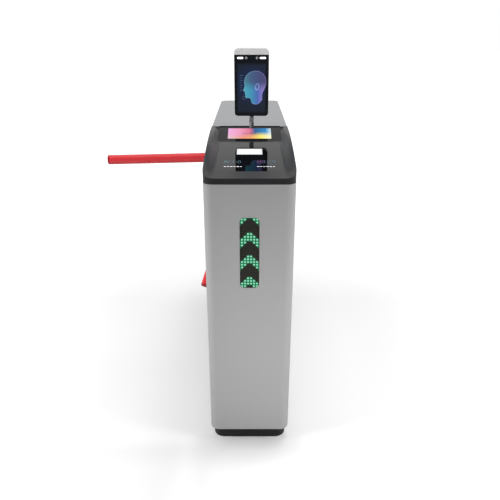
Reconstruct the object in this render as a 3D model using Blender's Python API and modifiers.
"""Tripod turnstile: a long floor cabinet whose three arms turn on a hub tilted by 45 degrees.

Origin at the middle of the plinth's underside, X across the cabinet, Y along it, Z up.
The arms reach out on the -X side, the service door is on the +X side, and the console with
the displays and the readers is at the -Y end.
"""
import math

import bmesh
import bpy
from mathutils import Matrix, Vector

# Clearances and overruns
fit_gap = 0.0003
running_gap = 0.0005
overrun = 0.002
merge_distance = 0.00001

# Cabinet
body_width = 0.280
body_length = 1.200
body_corner_radius = 0.030
body_top = 0.961
cover_height = 0.085
sheet = 0.002
round_steps = 6
turned_steps = 28
rod_sides = 20
pin_steps = 20
fine_steps = 24
small_sides = 16
standoff_sides = 12
lug_steps = 8

# Plinth and base plate
plinth_height = 0.044
plinth_inset = 0.013
plinth_wall = 0.003
plinth_floor = 0.004
anchor_hole_radius = 0.007
anchor_inset = 0.060
cable_hole_radius = 0.030
cable_hole_y = 0.280
base_plate_thickness = 0.003

# Arm niche on the -X side
niche_half_length = 0.360
niche_back_x = 0.020
niche_bottom_z = 0.300
sill_drop = 0.045
bulkhead_thickness = 0.002
cable_slot_width = 0.060
cable_slot_height = 0.120
cable_slot_z = 0.330

# Hub axis and arms
hub_apex_x = -0.017
hub_apex_drop = 0.0573
hub_tilt = math.radians(225)
arm_half_angle = math.radians(43.6)
arm_count = 3
arm_reach = 0.553
arm_radius = 0.019
arm_end_round = 0.003
arm_round_angles = (30, 60)
arm_wall = 0.0015
arm_end_wall = 0.003
arm_vent_radius = 0.003
arm_pin_reach = 0.100
arm_knuckle_radius = 0.0095
arm_knuckle_width = 0.020
arm_shoulder_start = 0.018
arm_shoulder_end = 0.032
arm_pin_radius = 0.005
arm_pin_head_radius = 0.0075
arm_pin_head = 0.002
lug_radius = 0.012
lug_thickness = 0.009
lug_gap = 0.0005
hub_plate_face = 0.0486
hub_plate_thickness = 0.003
hub_disc_back = 0.0506
hub_disc_face = 0.062
hub_disc_radius = 0.082
hub_disc_edge = 0.004
hub_boss_radius = 0.034
hub_boss_height = 0.006
hub_hole_radius = 0.0205

# Mechanism behind the hub plate, places measured along the hub axis from the apex
mechanism_plate_thickness = 0.010
mechanism_half_length = 0.125
mechanism_up = 0.060
mechanism_down = 0.085
housing_flange_radius = 0.036
housing_flange = 0.006
housing_radius = 0.027
housing_bore_radius = 0.021
housing_end = -0.008
bearing_width = 0.012
bearing_bore_radius = 0.0123
bearing_inset = 0.002
shaft_radius = 0.012
shaft_flange_radius = 0.019
shaft_flange = 0.006
shaft_end = -0.044
lock_wheel_radius = 0.040
lock_wheel_back = -0.014
lock_wheel_thickness = 0.010
notch_count = 12
notch_depth = 0.005
notch_half_width = 0.0045
gear_module = 0.002
gear_teeth = 45
pinion_teeth = 15
gear_back = -0.030
gear_thickness = 0.010
tooth_addendum_share = 0.75
tooth_dedendum_share = 1.1
tooth_pitch_share = 0.21
tooth_tip_share = 0.10
tooth_root_share = 0.29
damper_radius = 0.018
damper_end = -0.0275
pinion_shaft_radius = 0.004
pinion_shaft_depth = 0.014
solenoid_width = 0.030
solenoid_height = 0.030
solenoid_near = 0.052
solenoid_far = 0.106
bolt_width = 0.007
bolt_clear = 0.0006
bolt_tail = 0.030

# Service door on the +X side
door_frame_depth = 0.020
door_header_drop = 0.0335
door_sill_top = 0.070
door_gap = 0.002
door_flange = 0.016

# Knuckle hinges of the door and of the cover
knuckle_radius = 0.0042
hinge_pin_radius = 0.002
knuckle_length = 0.020
leaf_thickness = 0.002
leaf_reach = 0.026
door_hinge_low_inset = 0.128
door_hinge_high_inset = 0.1355
cover_hinge_front_inset = 0.145
cover_hinge_rear_inset = 0.130

# Locks of the door and of the cover
lock_radius = 0.009
lock_head_radius = 0.012
lock_head = 0.0025
lock_depth = 0.018
lock_tongue_thickness = 0.0025
lock_tongue_half_width = 0.004
lock_tongue_length = 0.034
lock_slot_above = 0.006
lock_slot_clear = 0.002
lock_slot_width = 0.010
lock_inset = 0.025
door_lock_z = 0.500
cover_lock_rise = 0.024
keeper_half_width = 0.012
keeper_rise = 0.041

# Console at the -Y end, distances measured back from the front face and rises measured up
# from the cabinet's top
console_length = 0.485
console_corner_radius = 0.037
console_wall = 0.004
console_floor = 0.004
rail_level_start = 0.440
rail_arc_radius = 1.727
rail_steps = 10
rim_front_rise = 0.018
glass_start = 0.048
glass_start_rise = 0.027
crease = 0.353
crease_rise = 0.0519
crease_border = 0.003
glass_end = 0.463
glass_end_rise = 0.0808
reader_half_width = 0.106
display_half_width = 0.1125
rail_flare = 0.026
glass_thickness = 0.003
glass_top_rise = 0.060
display_x = 0.155
display_start = 0.377
display_end = 0.4615
display_panel_depth = 0.008
scanner_half_width = 0.0435
scanner_start = 0.208
scanner_end = 0.276
scanner_depth = 0.036
card_half_width = 0.085
card_start = 0.075
card_end = 0.165
card_depth = 0.008

# Display of lamps on the front face
led_half_width = 0.030
led_height = 0.236
led_drop = 0.104
led_corner_radius = 0.014
led_window_thickness = 0.003
led_board_thickness = 0.008
led_board_margin = 0.006

# Boards on the niche's back panel
board_thickness = 0.0016
board_standoff = 0.008
board_standoff_radius = 0.004
board_inset = 0.190
board_z = 0.510
board_length = 0.180
board_height = 0.220
board_standoff_inset = 0.012
supply_inset = 0.170
supply_z = 0.510
supply_length = 0.140
supply_height = 0.180
supply_depth = 0.040

# Pole and terminal
pole_x = 0.007
pole_inset = 0.011
pole_radius = 0.008
pole_foot_radius = 0.014
pole_foot = 0.004
pole_rise = 0.016
spigot_radius = 0.005
spigot_length = 0.007
head_height = 0.008
tilt_rise = 0.0075
tongue_half_width = 0.004
tongue_radius = 0.0065
tilt_pin_radius = 0.002
terminal_width = 0.123
terminal_height = 0.230
terminal_rise = 0.0085
terminal_forward = 0.015
terminal_depth = 0.026
terminal_corner_radius = 0.010
terminal_hood_height = 0.021
terminal_glass_border = 0.001
terminal_glass_thickness = 0.003
screen_side_border = 0.0085
screen_bottom_border = 0.008
screen_top_border = 0.025
screen_thickness = 0.005
light_half_width = 0.0125
light_half_height = 0.005
light_side_border = 0.022
lens_radius = 0.004
lens_inset = 0.0205
lamp_drop = 0.0105
lamp_depth = 0.004


def clear_scene():
    for old in list(bpy.data.objects):
        bpy.data.objects.remove(old, do_unlink=True)


def new_collection(name):
    collection = bpy.data.collections.new(name)
    bpy.context.scene.collection.children.link(collection)
    return collection


clear_scene()
parts = new_collection("tripod_turnstile")
tools = new_collection("cutters_and_guides")


def material(name, color, roughness, metallic):
    made = bpy.data.materials.get(name)
    if made is None:
        made = bpy.data.materials.new(name)
        made.use_nodes = True
        shader = made.node_tree.nodes["Principled BSDF"]
        shader.inputs["Base Color"].default_value = (*color, 1.0)
        shader.inputs["Roughness"].default_value = roughness
        shader.inputs["Metallic"].default_value = metallic
        made.diffuse_color = (*color, 1.0)
    return made


def brushed(name):
    return material("brushed_" + name, (0.62, 0.62, 0.64), 0.35, 1.0)


def black(name):
    return material("black_" + name, (0.03, 0.03, 0.035), 0.5, 0.0)


def steel(name):
    return material("steel_" + name, (0.55, 0.55, 0.56), 0.3, 1.0)


def glossy(name, color):
    return material("gloss_" + name, color, 0.08, 0.0)


def add(name, mesh, finish=None, place=None):
    """Link a mesh as a part, or as a hidden cutter where it has no finish."""
    piece = bpy.data.objects.new(name, mesh)
    if finish is None:
        tools.objects.link(piece)
        piece.hide_render = True
        piece.display_type = "WIRE"
    else:
        parts.objects.link(piece)
        mesh.materials.append(finish)
    if place is not None:
        piece.matrix_world = place
    return piece


def box(name, low, high, finish=None, place=None):
    bm = bmesh.new()
    bmesh.ops.create_cube(bm, size=1.0)
    size = Vector(high) - Vector(low)
    bmesh.ops.scale(bm, vec=size, verts=bm.verts)
    bmesh.ops.translate(bm, vec=(Vector(high) + Vector(low)) / 2, verts=bm.verts)
    mesh = bpy.data.meshes.new(name)
    bm.to_mesh(mesh)
    bm.free()
    return add(name, mesh, finish, place)


def rod(name, radius, low, high, finish=None, place=None, sides=rod_sides):
    """A cylinder along the local Z axis from low to high."""
    bm = bmesh.new()
    bmesh.ops.create_cone(bm, cap_ends=True, segments=sides, radius1=radius,
                          radius2=radius, depth=high - low)
    bmesh.ops.translate(bm, vec=(0, 0, (high + low) / 2), verts=bm.verts)
    mesh = bpy.data.meshes.new(name)
    bm.to_mesh(mesh)
    bm.free()
    mesh.shade_smooth()
    mesh.set_sharp_from_angle(angle=math.radians(35))
    return add(name, mesh, finish, place)


def turned(name, profile, finish=None, place=None, steps=turned_steps):
    """A turned shape from (radius, height) points that run down its outer side."""
    bm = bmesh.new()
    points = [bm.verts.new((radius, 0, height)) for radius, height in profile]
    for first, second in zip(points, points[1:]):
        bm.edges.new((first, second))
    mesh = bpy.data.meshes.new(name)
    bm.to_mesh(mesh)
    bm.free()
    piece = add(name, mesh, finish, place)
    screw = piece.modifiers.new("turn", "SCREW")
    screw.steps = steps
    screw.render_steps = steps
    screw.use_merge_vertices = True
    screw.merge_threshold = merge_distance
    screw.use_smooth_shade = False
    return piece


def ring(name, outer, bore, low, high, finish, place=None, steps=turned_steps):
    """A ring about the local Z axis, as a closed profile that is turned."""
    profile = [(outer, high), (outer, low), (bore, low), (bore, high), (outer, high)]
    piece = turned(name, profile, finish, place, steps)
    return piece


def outline(name, loops, thickness, finish=None, place=None):
    """A flat outline, with any holes, as a 2D curve thickened about the local XY plane."""
    curve = bpy.data.curves.new(name, "CURVE")
    curve.dimensions = "2D"
    curve.fill_mode = "BOTH"
    curve.extrude = thickness / 2
    for loop in loops:
        spline = curve.splines.new("POLY")
        spline.points.add(len(loop) - 1)
        for point, (x, y) in zip(spline.points, loop):
            point.co = (x, y, 0, 1)
        spline.use_cyclic_u = True
    drawn = bpy.data.objects.new(name + "_curve", curve)
    tools.objects.link(drawn)
    bpy.context.view_layer.update()
    evaluated = drawn.evaluated_get(bpy.context.evaluated_depsgraph_get())
    mesh = bpy.data.meshes.new_from_object(evaluated)
    bpy.data.objects.remove(drawn, do_unlink=True)
    bm = bmesh.new()
    bm.from_mesh(mesh)
    bmesh.ops.remove_doubles(bm, verts=bm.verts, dist=merge_distance)
    bmesh.ops.recalc_face_normals(bm, faces=bm.faces)
    bm.to_mesh(mesh)
    bm.free()
    mesh.materials.clear()
    mesh.name = name
    return add(name, mesh, finish, place)


def boolean(piece, other, operation):
    modifier = piece.modifiers.new(other.name, "BOOLEAN")
    modifier.operation = operation
    modifier.solver = "EXACT"
    modifier.object = other


def cut(piece, *cutters):
    for cutter in cutters:
        boolean(piece, cutter, "DIFFERENCE")


def fuse(piece, *others):
    for other in others:
        boolean(piece, other, "UNION")


def arc(center_x, center_y, radius, start, end, steps):
    """Points on an arc, both ends included, angles in quarter turns."""
    points = []
    for step in range(steps + 1):
        angle = math.radians(90) * (start + (end - start) * step / steps)
        points.append((center_x + radius * math.cos(angle), center_y + radius * math.sin(angle)))
    return points


def rounded(low_x, low_y, high_x, high_y, radius, steps=round_steps):
    """A rectangle with four round corners, counterclockwise."""
    return (arc(high_x - radius, low_y + radius, radius, -1, 0, steps)
            + arc(high_x - radius, high_y - radius, radius, 0, 1, steps)
            + arc(low_x + radius, high_y - radius, radius, 1, 2, steps)
            + arc(low_x + radius, low_y + radius, radius, 2, 3, steps))


def circle(center_x, center_y, radius, steps=turned_steps):
    return arc(center_x, center_y, radius, 0, 4, steps)[:-1]


def across(x=0.0):
    """A place whose local XY plane is the world's YZ plane, at the given X."""
    turn = Matrix(((0, 0, 1, 0), (1, 0, 0, 0), (0, 1, 0, 0), (0, 0, 0, 1)))
    return Matrix.Translation((x, 0, 0)) @ turn


def along(y=0.0):
    """A place whose local XY plane is the world's XZ plane, at the given Y."""
    turn = Matrix(((1, 0, 0, 0), (0, 0, -1, 0), (0, 1, 0, 0), (0, 0, 0, 1)))
    return Matrix.Translation((0, y, 0)) @ turn


def level(z=0.0):
    return Matrix.Translation((0, 0, z))


def empty(name, place):
    marker = bpy.data.objects.new(name, None)
    parts.objects.link(marker)
    marker.empty_display_size = knuckle_length
    marker.matrix_world = place
    return marker


def hold(marker, *pieces):
    """Parent pieces to an empty without moving them."""
    bpy.context.view_layer.update()
    for piece in pieces:
        piece.parent = marker
        piece.matrix_parent_inverse = marker.matrix_world.inverted()


# Values that follow from the sizes above
half_width = body_width / 2
half_length = body_length / 2
lid_top = body_top + cover_height
front_y = -half_length
wall_inside = half_width - sheet
inner_half_width = wall_inside - fit_gap
span = niche_half_length - fit_gap
console_back_y = front_y + console_length
base_low = plinth_height + fit_gap
base_top = base_low + base_plate_thickness
wall_top = body_top - fit_gap
rim_front_z = body_top + rim_front_rise
glass_start_z = body_top + glass_start_rise
crease_z = body_top + crease_rise
glass_end_z = body_top + glass_end_rise
led_top = body_top - led_drop
led_bottom = led_top - led_height
door_header_bottom = body_top - door_header_drop
cover_lock_z = body_top + cover_lock_rise
keeper_top = body_top + keeper_rise
hub_apex_z = body_top - hub_apex_drop
board_y = board_inset - niche_half_length
supply_y = niche_half_length - supply_inset
pole_y = console_back_y - pole_inset
pole_shoulder = lid_top + pole_rise
spigot_top = pole_shoulder + spigot_length
head_shoulder = pole_shoulder + head_height
tilt_z = head_shoulder + tilt_rise
terminal_bottom = tilt_z + terminal_rise
terminal_top = terminal_bottom + terminal_height
terminal_front = pole_y - terminal_forward
terminal_back = terminal_front + terminal_depth
terminal_glass_top = terminal_top - terminal_hood_height
lamp_z = terminal_glass_top - lamp_drop
light_offset = terminal_width / 2 - light_side_border
lens_offset = light_offset - lens_inset
hinge_x = half_width + fit_gap + knuckle_radius
pinion_distance = gear_module * (gear_teeth + pinion_teeth) / 2
hub_frame = Matrix.Translation((hub_apex_x, 0, hub_apex_z)) @ Matrix.Rotation(hub_tilt, 4, "Y")
mechanism_outer = hub_plate_face - hub_plate_thickness - fit_gap
mechanism_inner = mechanism_outer - mechanism_plate_thickness


def hub_section(axial, up):
    """The X and Z of a point in the niche's middle plane, from its place on the hub frame."""
    point = hub_frame @ Vector((up, 0, axial))
    return point.x, point.z


def reach_up(axial, x):
    """How far up the hub frame's X axis a plane across the hub axis meets a given X."""
    start = hub_section(axial, 0)
    unit = hub_section(axial, 1)
    return (x - start[0]) / (unit[0] - start[0])


def console_z(distance):
    """Height of the console's panels at a distance back from the front face."""
    marks = [(0, rim_front_z), (glass_start, glass_start_z), (crease, crease_z),
             (glass_end, glass_end_z)]
    for (near, near_z), (far, far_z) in zip(marks, marks[1:]):
        if distance <= far:
            return near_z + (far_z - near_z) * (distance - near) / (far - near)
    return glass_end_z


def rail_z(distance):
    """Height of the console's side rails, an arc that levels out at the lid's height."""
    before = max(0, rail_level_start - distance)
    return lid_top - (rail_arc_radius - math.sqrt(rail_arc_radius ** 2 - before ** 2))


def make_plinth():
    outer_x = half_width - plinth_inset
    outer_y = half_length - plinth_inset
    radius = body_corner_radius - plinth_inset
    loop = rounded(-outer_x, -outer_y, outer_x, outer_y, radius)
    plinth = outline("plinth", [loop], plinth_height, black("plinth"), level(plinth_height / 2))
    inner = rounded(-outer_x + plinth_wall, -outer_y + plinth_wall, outer_x - plinth_wall,
                    outer_y - plinth_wall, radius - plinth_wall)
    depth = plinth_height - plinth_floor + overrun
    hollow = outline("plinth_hollow", [inner], depth, None, level(plinth_floor + depth / 2))
    cut(plinth, hollow)
    anchor_x = half_width - anchor_inset
    anchor_y = half_length - anchor_inset
    for number, (x, y) in enumerate([(-anchor_x, -anchor_y), (anchor_x, -anchor_y),
                                     (anchor_x, anchor_y), (-anchor_x, anchor_y)]):
        place = Matrix.Translation((x, y, 0))
        cut(plinth, rod(f"anchor_hole_{number + 1}", anchor_hole_radius, -overrun,
                        plinth_floor + overrun, None, place, small_sides))
    cable_hole = rod("cable_hole", cable_hole_radius, -overrun, base_top + overrun, None,
                     Matrix.Translation((0, cable_hole_y, 0)))
    cut(plinth, cable_hole)
    edge_x = inner_half_width
    edge_y = half_length - sheet - fit_gap
    corner = body_corner_radius - sheet - fit_gap
    plate = outline("base_plate", [rounded(-edge_x, -edge_y, edge_x, edge_y, corner)],
                    base_plate_thickness, steel("base_plate"),
                    level(base_low + base_plate_thickness / 2))
    cut(plate, cable_hole)


def end_shell_loop():
    """Plan of the front shell's sheet, from its -X end round the front to its +X end."""
    inside = body_corner_radius - sheet
    center_x = half_width - body_corner_radius
    center_y = front_y + body_corner_radius
    outer = ([(-half_width, -niche_half_length)]
             + arc(-center_x, center_y, body_corner_radius, 2, 3, round_steps)
             + arc(center_x, center_y, body_corner_radius, 3, 4, round_steps)
             + [(half_width, -niche_half_length)])
    inner = ([(wall_inside, -niche_half_length)]
             + arc(center_x, center_y, inside, 4, 3, round_steps)
             + arc(-center_x, center_y, inside, 3, 2, round_steps)
             + [(-wall_inside, -niche_half_length)])
    return outer + inner


def make_end_shells():
    height = wall_top - plinth_height
    middle = (wall_top + plinth_height) / 2
    loop = end_shell_loop()
    front = outline("front_shell", [loop], height, brushed("front_shell"), level(middle))
    back_loop = [(x, -y) for x, y in loop]
    outline("rear_shell", [back_loop], height, brushed("rear_shell"), level(middle))
    window_loop = rounded(-led_half_width, led_bottom, led_half_width, led_top,
                          led_corner_radius)
    cut_loop = rounded(-led_half_width - fit_gap, led_bottom - fit_gap,
                       led_half_width + fit_gap, led_top + fit_gap,
                       led_corner_radius + fit_gap)
    cut(front, outline("led_cut", [cut_loop], 2 * sheet + 2 * overrun, None, along(front_y)))
    outline("led_window", [window_loop], led_window_thickness, glossy("led", (0.02, 0.03, 0.03)),
            along(front_y + led_window_thickness / 2))
    board_y_low = front_y + led_window_thickness + fit_gap
    margin = led_board_margin
    box("led_board", (-led_half_width - margin, board_y_low, led_bottom - margin),
        (led_half_width + margin, board_y_low + led_board_thickness, led_top + margin),
        material("green_board", (0.02, 0.16, 0.08), 0.5, 0.0))


def bulkhead(name, side):
    """A cross wall of the cabinet at one end of the niche, side -1 or +1 along Y."""
    y = side * (niche_half_length + bulkhead_thickness / 2)
    low = base_top + fit_gap
    loop = [(-inner_half_width, low), (inner_half_width, low), (inner_half_width, wall_top),
            (-inner_half_width, wall_top)]
    center = (niche_back_x + half_width) / 2
    slot = rounded(center - cable_slot_width / 2, cable_slot_z - cable_slot_height / 2,
                   center + cable_slot_width / 2, cable_slot_z + cable_slot_height / 2,
                   body_corner_radius / 2)
    if side > 0:
        keeper_x = -tongue_x()
        loop = loop[:3] + [(keeper_x + keeper_half_width, wall_top),
                           (keeper_x + keeper_half_width, keeper_top),
                           (keeper_x - keeper_half_width, keeper_top),
                           (keeper_x - keeper_half_width, wall_top)] + loop[3:]
    wall = outline(name, [loop, slot], bulkhead_thickness, steel("bulkheads"), along(y))
    if side > 0:
        low = lock_slot_clear + tongue_sweep()
        for label, x, z in (("door", tongue_x(), door_lock_z),
                            ("cover", -tongue_x(), cover_lock_z)):
            cut(wall, box(label + "_lock_slot",
                          (x - lock_slot_width / 2, y - bulkhead_thickness, z - low),
                          (x + lock_slot_width / 2, y + bulkhead_thickness,
                           z + lock_slot_above)))


def tongue_x():
    """Middle of a lock tongue's thickness, in from the cabinet's side."""
    return half_width - lock_depth - lock_tongue_thickness / 2


def tongue_sweep():
    """How far below its axis a lock's tongue meets the rear bulkhead as it swings up."""
    tip = lock_tongue_length ** 2 + lock_tongue_half_width ** 2
    return math.sqrt(tip - lock_inset ** 2)


def make_niche():
    front_up = reach_up(hub_plate_face, -half_width)
    front_down = reach_up(hub_plate_face, niche_back_x)
    rear = hub_plate_face - hub_plate_thickness
    loop = [hub_section(hub_plate_face, front_down), hub_section(rear, front_down),
            hub_section(rear, front_up), hub_section(hub_plate_face, front_up)]
    plate = outline("hub_plate", [loop], 2 * span, brushed("hub_plate"), along())
    cut(plate, rod("hub_plate_hole", hub_hole_radius, rear - overrun,
                   hub_plate_face + overrun, None, hub_frame))
    panel_top = hub_section(hub_plate_face, front_down)[1] - fit_gap
    box("niche_back_panel", (niche_back_x, -span, base_top + fit_gap),
        (niche_back_x + sheet, span, panel_top), brushed("niche_back"))
    inner_x = niche_back_x - fit_gap
    outer_z = niche_bottom_z - sill_drop
    sill = [(inner_x, niche_bottom_z), (inner_x, niche_bottom_z - sheet),
            (-half_width, outer_z - sheet), (-half_width, outer_z)]
    outline("niche_sill", [sill], 2 * span, brushed("sill"), along())
    box("lower_side_panel", (-half_width, -span, plinth_height),
        (-wall_inside, span, outer_z - sheet - fit_gap), brushed("side_panel"))


def lug_loop(radius, depth):
    """A lug seen from its side: a half disc on a block that reaches down by depth."""
    return arc(0, 0, radius, 0, 2, lug_steps) + [(-radius, -depth), (radius, -depth)]


def pin_frame(number):
    """Place of an arm's pin: Y along the pin, Z out along the hub axis."""
    radial = arm_pin_reach * math.sin(arm_half_angle)
    axial = arm_pin_reach * math.cos(arm_half_angle)
    turn = Matrix.Rotation(math.radians(360) * number / arm_count, 4, "Z")
    return hub_frame @ turn @ Matrix.Translation((radial, 0, axial))


def arm_frame(number):
    """Place of an arm at its pin, with Z along the arm and Y along the pin."""
    return pin_frame(number) @ Matrix.Rotation(arm_half_angle, 4, "Y")


def side_on():
    """Turn that lays an outline's plane across Y, with its upward direction along Z."""
    return Matrix.Rotation(math.radians(90), 4, "X")


def make_hub():
    boss_top = hub_disc_face + hub_boss_height
    profile = [(0, boss_top), (hub_boss_radius - hub_boss_height, boss_top),
               (hub_boss_radius, hub_disc_face),
               (hub_disc_radius - hub_disc_edge, hub_disc_face),
               (hub_disc_radius, hub_disc_face - hub_disc_edge),
               (hub_disc_radius, hub_disc_back), (0, hub_disc_back)]
    disc = turned("hub_disc", profile, steel("hub_disc"), hub_frame)
    lug_offset = arm_knuckle_width / 2 + lug_gap + lug_thickness / 2
    pin_axial = arm_pin_reach * math.cos(arm_half_angle)
    lug_depth = pin_axial - hub_disc_face + hub_disc_edge
    for number in range(arm_count):
        for side in (-1, 1):
            place = pin_frame(number) @ Matrix.Translation((0, side * lug_offset, 0)) @ side_on()
            fuse(disc, outline(f"lug_{number + 1}_{'a' if side < 0 else 'b'}",
                               [lug_loop(lug_radius, lug_depth)], lug_thickness, None, place))
    hub = empty("hub_axis", hub_frame)
    pins = []
    for number in range(arm_count):
        across_pin = pin_frame(number) @ side_on()
        reach = lug_offset + lug_thickness / 2
        bore = rod(f"arm_pin_bore_{number + 1}", arm_pin_radius + fit_gap, -reach - overrun,
                   reach + overrun, None, across_pin)
        cut(disc, bore)
        end = reach + fit_gap
        head = end + arm_pin_head
        profile = [(0, head), (arm_pin_head_radius, head), (arm_pin_head_radius, end),
                   (arm_pin_radius, end), (arm_pin_radius, -end),
                   (arm_pin_head_radius, -end), (arm_pin_head_radius, -head), (0, -head)]
        pins.append(turned(f"arm_pin_{number + 1}", profile, steel("arm_pins"), across_pin,
                           pin_steps))
        make_arm(number, bore)
    shaft_top = hub_disc_back - fit_gap
    shaft = turned("main_shaft", [(0, shaft_top), (shaft_flange_radius, shaft_top),
                                  (shaft_flange_radius, shaft_top - shaft_flange),
                                  (shaft_radius, shaft_top - shaft_flange),
                                  (shaft_radius, shaft_end), (0, shaft_end)],
                   steel("main_shaft"), hub_frame)
    hold(hub, disc, shaft, *pins, *make_wheels())


def make_arm(number, bore):
    """A tubular arm with a flat knuckle that folds between two lugs of the hub."""
    length = arm_reach - arm_pin_reach
    corner = arm_end_round
    bore_radius = arm_radius - arm_wall
    bore_start = arm_shoulder_end + arm_end_wall
    profile = [(0, bore_start), (bore_radius, bore_start), (bore_radius, length - arm_end_wall),
               (arm_vent_radius, length - arm_end_wall), (arm_vent_radius, length),
               (arm_radius - corner, length)]
    profile += [(arm_radius - corner + corner * math.sin(math.radians(angle)),
                 length - corner + corner * math.cos(math.radians(angle)))
                for angle in arm_round_angles]
    profile += [(arm_radius, length - corner), (arm_radius, arm_shoulder_end),
                (arm_knuckle_radius, arm_shoulder_start), (0, arm_shoulder_start)]
    place = arm_frame(number)
    arm = turned(f"arm_{number + 1}", profile, glossy("red_arms", (0.72, 0.03, 0.04)), place)
    depth = arm_shoulder_start + overrun
    knuckle = outline(f"arm_knuckle_{number + 1}", [lug_loop(arm_knuckle_radius, depth)],
                      arm_knuckle_width, None,
                      place @ Matrix.Rotation(math.radians(180), 4, "Y") @ side_on())
    fuse(arm, knuckle)
    cut(arm, bore)
    hold(empty(f"arm_{number + 1}_axis", pin_frame(number)), arm)


def toothed_loop(teeth):
    """Outline of a spur gear with straight flanks, a tooth centred on the local X axis."""
    pitch_radius = gear_module * teeth / 2
    pitch_angle = math.radians(360) / teeth
    tip = pitch_radius + gear_module * tooth_addendum_share
    root = pitch_radius - gear_module * tooth_dedendum_share
    points = []
    for tooth in range(teeth):
        for radius, share in ((root, -tooth_root_share), (pitch_radius, -tooth_pitch_share),
                              (tip, -tooth_tip_share), (tip, tooth_tip_share),
                              (pitch_radius, tooth_pitch_share), (root, tooth_root_share)):
            angle = pitch_angle * (tooth + share)
            points.append((radius * math.cos(angle), radius * math.sin(angle)))
    return points


def notched_loop():
    """Outline of the lock wheel, with a notch centred on each step of its turn."""
    half_angle = math.asin(notch_half_width / lock_wheel_radius)
    step = math.radians(360) / notch_count
    floor = lock_wheel_radius - notch_depth
    points = []
    for notch in range(notch_count):
        middle = step * notch
        for radius, angle in ((lock_wheel_radius, -half_angle), (floor, -half_angle),
                              (floor, half_angle), (lock_wheel_radius, half_angle),
                              (lock_wheel_radius, step / 2)):
            points.append((radius * math.cos(middle + angle), radius * math.sin(middle + angle)))
    return points


def make_wheels():
    """Wheels fixed on the main shaft."""
    hole = circle(0, 0, bearing_bore_radius)
    wheel = outline("lock_wheel", [notched_loop(), hole], lock_wheel_thickness,
                    steel("lock_wheel"),
                    hub_frame @ level(lock_wheel_back - lock_wheel_thickness / 2))
    gear = outline("drive_gear", [toothed_loop(gear_teeth), hole], gear_thickness,
                   material("brass_gear", (0.60, 0.44, 0.18), 0.35, 1.0),
                   hub_frame @ level(gear_back - gear_thickness / 2))
    return wheel, gear


def make_mechanism():
    """Base casting, bearings, damper and lock bolts, all carried by the hub plate."""
    base = box("mechanism_base", (-mechanism_down, -mechanism_half_length, mechanism_inner),
               (mechanism_up, mechanism_half_length, mechanism_outer),
               material("cast_base", (0.20, 0.21, 0.23), 0.6, 0.6), hub_frame)
    cut(base, rod("base_hole", housing_bore_radius, mechanism_inner - overrun,
                  mechanism_outer + overrun, None, hub_frame))
    flange_top = mechanism_inner - fit_gap
    flange_low = flange_top - housing_flange
    profile = [(housing_flange_radius, flange_top), (housing_flange_radius, flange_low),
               (housing_radius, flange_low), (housing_radius, housing_end),
               (housing_bore_radius, housing_end), (housing_bore_radius, flange_top),
               (housing_flange_radius, flange_top)]
    turned("bearing_housing", profile, steel("housing"), hub_frame)
    race = housing_bore_radius - fit_gap
    front_top = flange_top - bearing_inset
    rear_low = housing_end + bearing_inset
    ring("front_bearing", race, bearing_bore_radius, front_top - bearing_width, front_top,
         steel("bearings"), hub_frame)
    ring("rear_bearing", race, bearing_bore_radius, rear_low, rear_low + bearing_width,
         steel("bearings"), hub_frame)
    pinion_frame = hub_frame @ Matrix.Translation((-pinion_distance, 0, 0))
    damper = rod("damper_body", damper_radius, damper_end, mechanism_inner - fit_gap,
                 black("damper"), pinion_frame)
    cut(damper, rod("damper_bore", pinion_shaft_radius + fit_gap, damper_end - overrun,
                    damper_end + pinion_shaft_depth + running_gap, None, pinion_frame,
                    small_sides))
    make_pinion(pinion_frame)
    for name, side in (("entry", -1), ("exit", 1)):
        make_lock_bolt(base, name, side)


def make_pinion(pinion_frame):
    """The damper's pinion, turned so that a gap of it faces a tooth of the drive gear."""
    facing = Matrix.Rotation(math.radians(180) / pinion_teeth * phase_steps(), 4, "Z")
    middle = gear_back - gear_thickness / 2
    pinion = outline("damper_pinion", [toothed_loop(pinion_teeth)], gear_thickness,
                     steel("pinion"), pinion_frame @ facing @ level(middle))
    fuse(pinion, rod("pinion_shaft", pinion_shaft_radius, middle,
                     damper_end + pinion_shaft_depth, None, pinion_frame, small_sides))
    hold(empty("pinion_axis", pinion_frame), pinion)


def phase_steps():
    """Half teeth of turn that mesh the pinion where the drive gear faces it with a gap or tooth."""
    gear_has_tooth = gear_teeth % 2 == 0
    return 1 if gear_has_tooth else 0


def make_lock_bolt(base, name, side):
    """A solenoid on a pillar of the base, whose bolt slides into a notch of the lock wheel."""
    turn = hub_frame @ Matrix.Rotation(math.radians(90) * side, 4, "Z")
    middle = lock_wheel_back - lock_wheel_thickness / 2
    half = solenoid_width / 2
    top = middle + solenoid_height / 2
    fuse(base, box(name + "_pillar", (solenoid_near, -half, top + fit_gap),
                   (solenoid_far, half, mechanism_inner + overrun), None, turn))
    body = box(name + "_solenoid", (solenoid_near, -half, middle - solenoid_height / 2),
               (solenoid_far, half, top), material("coil", (0.06, 0.10, 0.22), 0.5, 0.0), turn)
    bolt_half = bolt_width / 2
    tip = lock_wheel_radius + bolt_clear
    tail = solenoid_near + bolt_tail
    cut(body, box(name + "_bolt_way", (solenoid_near - overrun, -bolt_half - fit_gap,
                                       middle - bolt_half - fit_gap),
                  (tail + fit_gap, bolt_half + fit_gap, middle + bolt_half + fit_gap),
                  None, turn))
    bolt = box(name + "_bolt", (tip, -bolt_half, middle - bolt_half),
               (tail, bolt_half, middle + bolt_half), steel("bolts"), turn)
    hold(empty(name + "_bolt_axis", turn @ Matrix.Translation((tip, 0, middle))), bolt)


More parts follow.
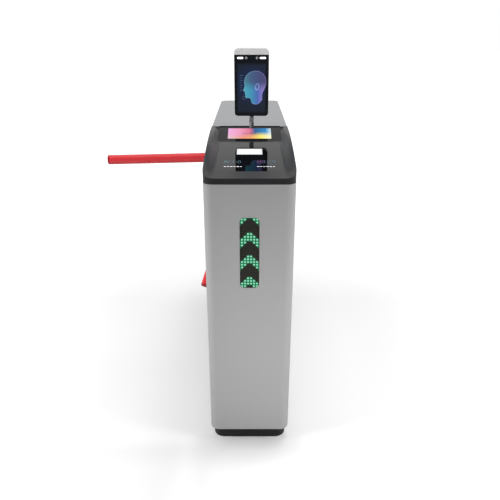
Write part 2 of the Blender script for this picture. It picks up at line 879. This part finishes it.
def knuckle_hinge(name, place, moving, fixed_finish):
    """A hinge whose middle knuckle and pin stay and whose outer knuckles move.

    In its own frame Z is the hinge's axis, X points out of the wall and Y towards the
    moving panel. The moving knuckles and their leaves are fused to the moving panel.
    """
    half = knuckle_length / 2
    wall = -knuckle_radius
    fixed = box(name, (wall, -leaf_reach, -half), (wall + leaf_thickness, 0, half),
                fixed_finish, place)
    fuse(fixed, rod(name + "_knuckle", knuckle_radius, -half, half, None, place))
    end = half + running_gap + knuckle_length
    fuse(fixed, rod(name + "_pin", hinge_pin_radius, -end, end, None, place, small_sides))
    for label, low, high in (("low", -end, -half - running_gap), ("high", half + running_gap,
                                                                  end)):
        fuse(moving, box(f"{name}_{label}_leaf", (wall - sheet, 0, low),
                         (wall + leaf_thickness, leaf_reach, high), None, place))
        fuse(moving, rod(f"{name}_{label}_knuckle", knuckle_radius, low, high, None, place))
    cut(moving, rod(name + "_bore", hinge_pin_radius + fit_gap, -end - overrun, end + overrun,
                    None, place, small_sides))
    return fixed


def cam_lock(name, panel, center_y, center_z, side):
    """A cylinder lock through a side wall, its tongue hanging down, side -1 or +1 along X."""
    place = Matrix.Translation((side * half_width, center_y, center_z))
    if side > 0:
        place = place @ Matrix.Rotation(math.radians(90), 4, "Y")
    else:
        place = place @ Matrix.Rotation(math.radians(-90), 4, "Y")
    inner = -lock_depth
    head = fit_gap + lock_head
    profile = [(0, head), (lock_head_radius, head), (lock_head_radius, fit_gap),
               (lock_radius, fit_gap), (lock_radius, inner), (0, inner)]
    barrel = turned(name, profile, steel("locks"), place, fine_steps)
    low_x, high_x = sorted((-lock_radius * side, lock_tongue_length * side))
    tongue = box(name + "_tongue",
                 (low_x, -lock_tongue_half_width, inner - lock_tongue_thickness),
                 (high_x, lock_tongue_half_width, inner + overrun), None, place)
    fuse(barrel, tongue)
    cut(panel, rod(name + "_hole", lock_radius + fit_gap, -door_flange, overrun, None, place))
    return barrel


def make_door():
    low_x = half_width - door_frame_depth
    box("door_header", (low_x, -span, door_header_bottom), (half_width, span, wall_top),
        brushed("door_frame"))
    box("door_sill", (low_x, -span, base_top + fit_gap), (half_width, span, door_sill_top),
        brushed("door_frame"))
    edge_y = niche_half_length - door_gap
    low_z = door_sill_top + door_gap
    high_z = door_header_bottom - door_gap
    door = box("service_door", (half_width - door_flange, -edge_y, low_z),
               (half_width, edge_y, high_z), brushed("service_door"))
    cut(door, box("door_hollow", (half_width - door_flange - overrun, -edge_y + sheet,
                                  low_z + sheet),
                  (wall_inside, edge_y - sheet, high_z - sheet)))
    axis_y = -(niche_half_length - door_gap / 2)
    turn = Matrix.Translation((hinge_x, axis_y, 0))
    for number, z in enumerate((low_z + door_hinge_low_inset,
                                high_z - door_hinge_high_inset)):
        knuckle_hinge(f"door_hinge_{number + 1}", turn @ level(z), door, steel("hinges"))
    axis = empty("door_axis", turn)
    hold(axis, door)
    lock_y = niche_half_length - lock_inset
    lock = cam_lock("door_lock", door, lock_y, door_lock_z, 1)
    lock_axis = empty("door_lock_axis", Matrix.Translation((half_width, lock_y, door_lock_z)))
    hold(lock_axis, lock)
    hold(axis, lock_axis)


def cover_loop(inset):
    """Plan of the top cover, square at the console and round at the rear corners."""
    edge = half_width - inset
    front = console_back_y + fit_gap + inset
    radius = body_corner_radius - inset
    back = half_length - inset - radius
    return ([(-edge, front), (edge, front)]
            + arc(edge - radius, back, radius, 0, 1, round_steps)
            + arc(-edge + radius, back, radius, 1, 2, round_steps))


def make_top_cover():
    height = lid_top - body_top
    cover = outline("top_cover", [cover_loop(0)], height, brushed("top_cover"),
                    level(body_top + height / 2))
    hollow_height = height - sheet + overrun
    hollow = outline("cover_hollow", [cover_loop(sheet)], hollow_height, None,
                     level(lid_top - sheet - hollow_height / 2))
    cut(cover, hollow)
    axis = Matrix.Translation((hinge_x, 0, body_top)) @ along()
    for number, y in enumerate((console_back_y + cover_hinge_front_inset,
                                half_length - cover_hinge_rear_inset)):
        knuckle_hinge(f"cover_hinge_{number + 1}", Matrix.Translation((0, y, 0)) @ axis, cover,
                      steel("hinges"))
    marker = empty("cover_axis", axis)
    hold(marker, cover)
    lock_y = niche_half_length - lock_inset
    lock = cam_lock("cover_lock", cover, lock_y, cover_lock_z, -1)
    lock_axis = empty("cover_lock_axis",
                      Matrix.Translation((-half_width, lock_y, cover_lock_z)))
    hold(lock_axis, lock)
    hold(marker, lock_axis)


def console_outline(name, near, far, top, bottom, width, finish=None):
    """A slab that follows the console's panels between two distances and two offsets."""
    inside = [mark for mark in (glass_start, crease, crease + crease_border)
              if near < mark < far]
    marks = [near] + inside + [far]
    upper = [(front_y + mark, console_z(mark) + top) for mark in reversed(marks)]
    lower = [(front_y + mark, console_z(mark) + bottom) for mark in marks]
    return outline(name, [lower + upper], width, finish, across())


def shape_recess(cutter):
    """Give the recess cutter each panel's width, and lean its side walls out to the rails."""
    lean = rail_flare / (rail_z(crease) - crease_z)
    for vertex in cutter.data.vertices:
        distance = vertex.co.x - front_y
        half = reader_half_width if distance < crease + crease_border / 2 else display_half_width
        rise = vertex.co.y - console_z(distance)
        vertex.co.z = math.copysign(half + max(0, rise) * lean, vertex.co.z)


def make_console():
    marks = [console_length * step / rail_steps for step in range(rail_steps + 1)]
    top = [(front_y + mark, rail_z(mark)) for mark in reversed(marks)]
    loop = ([(front_y - overrun, body_top), (console_back_y, body_top)] + top
            + [(front_y - overrun, rail_z(0))])
    frame = outline("console_frame", [loop], body_width + 2 * overrun, black("console"),
                    across())
    radius = console_corner_radius
    plan = (arc(-half_width + radius, front_y + radius, radius, 2, 3, round_steps)
            + arc(half_width - radius, front_y + radius, radius, 3, 4, round_steps)
            + [(half_width, console_back_y + overrun), (-half_width, console_back_y + overrun)])
    height = lid_top - body_top + 2 * overrun
    boolean(frame, outline("console_plan", [plan], height, None,
                           level(body_top - overrun + height / 2)), "INTERSECT")
    recess = console_outline("recess", -console_wall, glass_end, glass_top_rise, 0,
                             2 * reader_half_width)
    shape_recess(recess)
    seat = -glass_thickness - fit_gap
    reader_end = crease - crease_border
    display_near = crease + 2 * crease_border
    reader_seat = console_outline("reader_seat", glass_start, reader_end, overrun, seat,
                                  2 * reader_half_width - 2 * fit_gap)
    display_seat = console_outline("display_seat", display_near, glass_end - fit_gap, overrun,
                                   seat, 2 * display_half_width - 2 * fit_gap)
    cut(frame, recess, reader_seat, display_seat)
    under = seat - console_floor
    hollow = console_outline("console_hollow", console_corner_radius, glass_end, under,
                             -lid_top / 2, body_width - 4 * console_wall)
    cut(frame, hollow)
    finish = glossy("console_glass", (0.03, 0.03, 0.04))
    reader = console_outline("reader_glass", glass_start + fit_gap, reader_end - fit_gap, 0,
                             -glass_thickness, 2 * reader_half_width - 4 * fit_gap, finish)
    console_outline("display_glass", display_near + fit_gap, glass_end - 2 * fit_gap, 0,
                    -glass_thickness, 2 * display_half_width - 4 * fit_gap, finish)
    make_console_inner(frame, reader, seat)


def make_console_inner(frame, reader, seat):
    """Display, scanner and card reader under the glasses, each in an opening of the floor."""
    rows = (("display_panel", display_start, display_end, display_x / 2, display_panel_depth,
             material("panel", (0.25, 0.12, 0.30), 0.4, 0.0)),
            ("code_scanner", scanner_start, scanner_end, scanner_half_width, scanner_depth,
             black("scanner")),
            ("card_reader", card_start, card_end, card_half_width, card_depth,
             material("card_board", (0.02, 0.14, 0.07), 0.5, 0.0)))
    for name, near, far, half, depth, finish in rows:
        cut(frame, console_outline(name + "_opening", near - fit_gap, far + fit_gap, seat / 2,
                                   seat - console_floor - overrun, 2 * half + 2 * fit_gap))
        console_outline(name, near, far, seat, seat - depth, 2 * half, finish)
    cut(reader, console_outline("scanner_window_cut", scanner_start - fit_gap,
                                scanner_end + fit_gap, overrun, -glass_thickness - overrun,
                                2 * scanner_half_width + 2 * fit_gap))
    console_outline("scanner_window", scanner_start, scanner_end, 0, -glass_thickness,
                    2 * scanner_half_width, glossy("window", (0.85, 0.87, 0.90)))
    cut(frame, rod("pole_hole", pole_radius + fit_gap, -half_length, half_length, None,
                   Matrix.Translation((pole_x, pole_y, lid_top)), fine_steps))


def make_boards():
    """Control board and power supply on the inner side of the niche's back panel."""
    seat_x = niche_back_x + sheet + fit_gap
    low = Vector((seat_x + board_standoff, board_y - board_length / 2,
                  board_z - board_height / 2))
    high = Vector((seat_x + board_standoff + board_thickness, board_y + board_length / 2,
                   board_z + board_height / 2))
    board = box("control_board", low, high, material("control", (0.02, 0.18, 0.09), 0.5, 0.0))
    for side_y in (-1, 1):
        for side_z in (-1, 1):
            y = board_y + side_y * (board_length / 2 - board_standoff_inset)
            z = board_z + side_z * (board_height / 2 - board_standoff_inset)
            place = (Matrix.Translation((seat_x, y, z))
                     @ Matrix.Rotation(math.radians(90), 4, "Y"))
            fuse(board, rod(f"standoff_{side_y}_{side_z}", board_standoff_radius, 0,
                            board_standoff + board_thickness / 2, None, place,
                            standoff_sides))
    box("power_supply", (seat_x, supply_y - supply_length / 2, supply_z - supply_height / 2),
        (seat_x + supply_depth, supply_y + supply_length / 2, supply_z + supply_height / 2),
        material("supply_case", (0.60, 0.61, 0.62), 0.4, 0.8))


def make_pole():
    finish = steel("pole")
    place = Matrix.Translation((pole_x, pole_y, 0))
    foot_top = body_top - fit_gap
    turned("pole", [(0, spigot_top), (spigot_radius, spigot_top), (spigot_radius, pole_shoulder),
                    (pole_radius, pole_shoulder), (pole_radius, foot_top),
                    (pole_foot_radius, foot_top), (pole_foot_radius, foot_top - pole_foot),
                    (0, foot_top - pole_foot)], finish, place, fine_steps)
    swivel = empty("swivel_axis", place)
    head_low = pole_shoulder + fit_gap
    head = rod("swivel_head", pole_radius, head_low, head_shoulder, finish, place)
    fuse(head, outline("swivel_tongue", [lug_loop(tongue_radius, tilt_z - head_shoulder
                                                  + running_gap)],
                       2 * tongue_half_width, None, tilt_place() @ across()))
    fuse(head, rod("tilt_pin", tilt_pin_radius, -pole_radius, pole_radius, None,
                   tilt_place() @ Matrix.Rotation(math.radians(90), 4, "Y"), small_sides))
    cut(head, rod("spigot_bore", spigot_radius + fit_gap, head_low - overrun,
                  spigot_top + fit_gap, None, place))
    tilt = make_terminal()
    hold(swivel, head, tilt)


def tilt_place():
    return Matrix.Translation((pole_x, pole_y, tilt_z))


def make_terminal():
    """The upright terminal, whose housing hangs on the tilt pin by two lugs."""
    half = terminal_width / 2
    loop = rounded(pole_x - half, terminal_bottom, pole_x + half, terminal_top,
                   terminal_corner_radius)
    depth = terminal_back - terminal_front
    housing = outline("terminal_housing", [loop], depth, brushed("terminal"),
                      along((terminal_back + terminal_front) / 2))
    lug_width = pole_radius - tongue_half_width - fit_gap
    for side in (-1, 1):
        offset = side * (tongue_half_width + fit_gap + lug_width / 2)
        drop = terminal_bottom - tilt_z + terminal_corner_radius / 2
        upside_down = Matrix.Rotation(math.radians(180), 4, "X")
        fuse(housing, outline(f"terminal_lug_{side}", [lug_loop(tongue_radius, drop)], lug_width,
                              None, tilt_place() @ Matrix.Translation((offset, 0, 0))
                              @ upside_down @ across()))
    cut(housing, rod("tilt_bore", tilt_pin_radius + fit_gap, -pole_radius - overrun,
                     pole_radius + overrun, None,
                     tilt_place() @ Matrix.Rotation(math.radians(90), 4, "Y"), small_sides))
    glass_back = terminal_front + terminal_glass_thickness
    cut(housing, box("glass_seat", (pole_x - terminal_width, terminal_front - overrun,
                                    terminal_bottom - overrun),
                     (pole_x + terminal_width, glass_back + fit_gap,
                      terminal_glass_top + fit_gap)))
    screen_half = half - screen_side_border
    screen_low = (pole_x - screen_half, glass_back + fit_gap,
                  terminal_bottom + screen_bottom_border)
    screen_high = (pole_x + screen_half, glass_back + fit_gap + screen_thickness,
                   terminal_glass_top - screen_top_border)
    margin = Vector((fit_gap, fit_gap, fit_gap))
    pocket_low = Vector(screen_low) - margin
    pocket_low.y = glass_back - overrun
    cut(housing, box("screen_pocket", pocket_low, Vector(screen_high) + margin))
    screen = box("terminal_screen", screen_low, screen_high,
                 material("screen", (0.03, 0.05, 0.16), 0.3, 0.0))
    glass_half = half - terminal_glass_border
    glass_loop = (arc(pole_x - glass_half + terminal_corner_radius,
                      terminal_bottom + terminal_corner_radius, terminal_corner_radius, 2, 3,
                      round_steps)
                  + arc(pole_x + glass_half - terminal_corner_radius,
                        terminal_bottom + terminal_corner_radius, terminal_corner_radius, 3, 4,
                        round_steps)
                  + [(pole_x + glass_half, terminal_glass_top),
                     (pole_x - glass_half, terminal_glass_top)])
    glass = outline("terminal_glass", [glass_loop], terminal_glass_thickness,
                    glossy("terminal_glass", (0.01, 0.01, 0.015)),
                    along((terminal_front + glass_back) / 2))
    pieces = [housing, screen, glass] + make_terminal_lamps(housing, glass)
    tilt = empty("tilt_axis", tilt_place())
    hold(tilt, *pieces)
    return tilt


def make_terminal_lamps(housing, glass):
    """Two fill lights and two lenses, flush in the glass and seated in the housing."""
    made = []
    rows = []
    for label, side in (("left", -1), ("right", 1)):
        x = pole_x + side * light_offset
        rows.append(("fill_light_" + label, x, light_half_width, light_half_height,
                     glossy("lights", (0.9, 0.9, 0.88))))
        x = pole_x + side * lens_offset
        rows.append(("camera_lens_" + label, x, lens_radius, lens_radius,
                     glossy("lenses", (0.02, 0.02, 0.03))))
    for name, x, half_x, half_z, finish in rows:
        depth = terminal_glass_thickness + lamp_depth
        plane = along(terminal_front + depth / 2)
        made.append(outline(name, [pill(x, half_x, half_z)], depth, finish, plane))
        cutter = outline(name + "_hole", [pill(x, half_x + fit_gap, half_z + fit_gap)],
                         depth + overrun, None,
                         along(terminal_front + fit_gap + (depth - overrun) / 2))
        cut(glass, cutter)
        cut(housing, cutter)
    return made


def pill(center_x, half_x, half_z):
    """An upright slot shape whose ends are half circles."""
    straight = half_x - half_z
    return (arc(center_x + straight, lamp_z, half_z, -1, 1, lug_steps)
            + arc(center_x - straight, lamp_z, half_z, 1, 3, lug_steps))


make_plinth()
make_end_shells()
bulkhead("front_bulkhead", -1)
bulkhead("rear_bulkhead", 1)
make_niche()
make_hub()
make_mechanism()
make_door()
make_console()
make_top_cover()
make_boards()
make_pole()
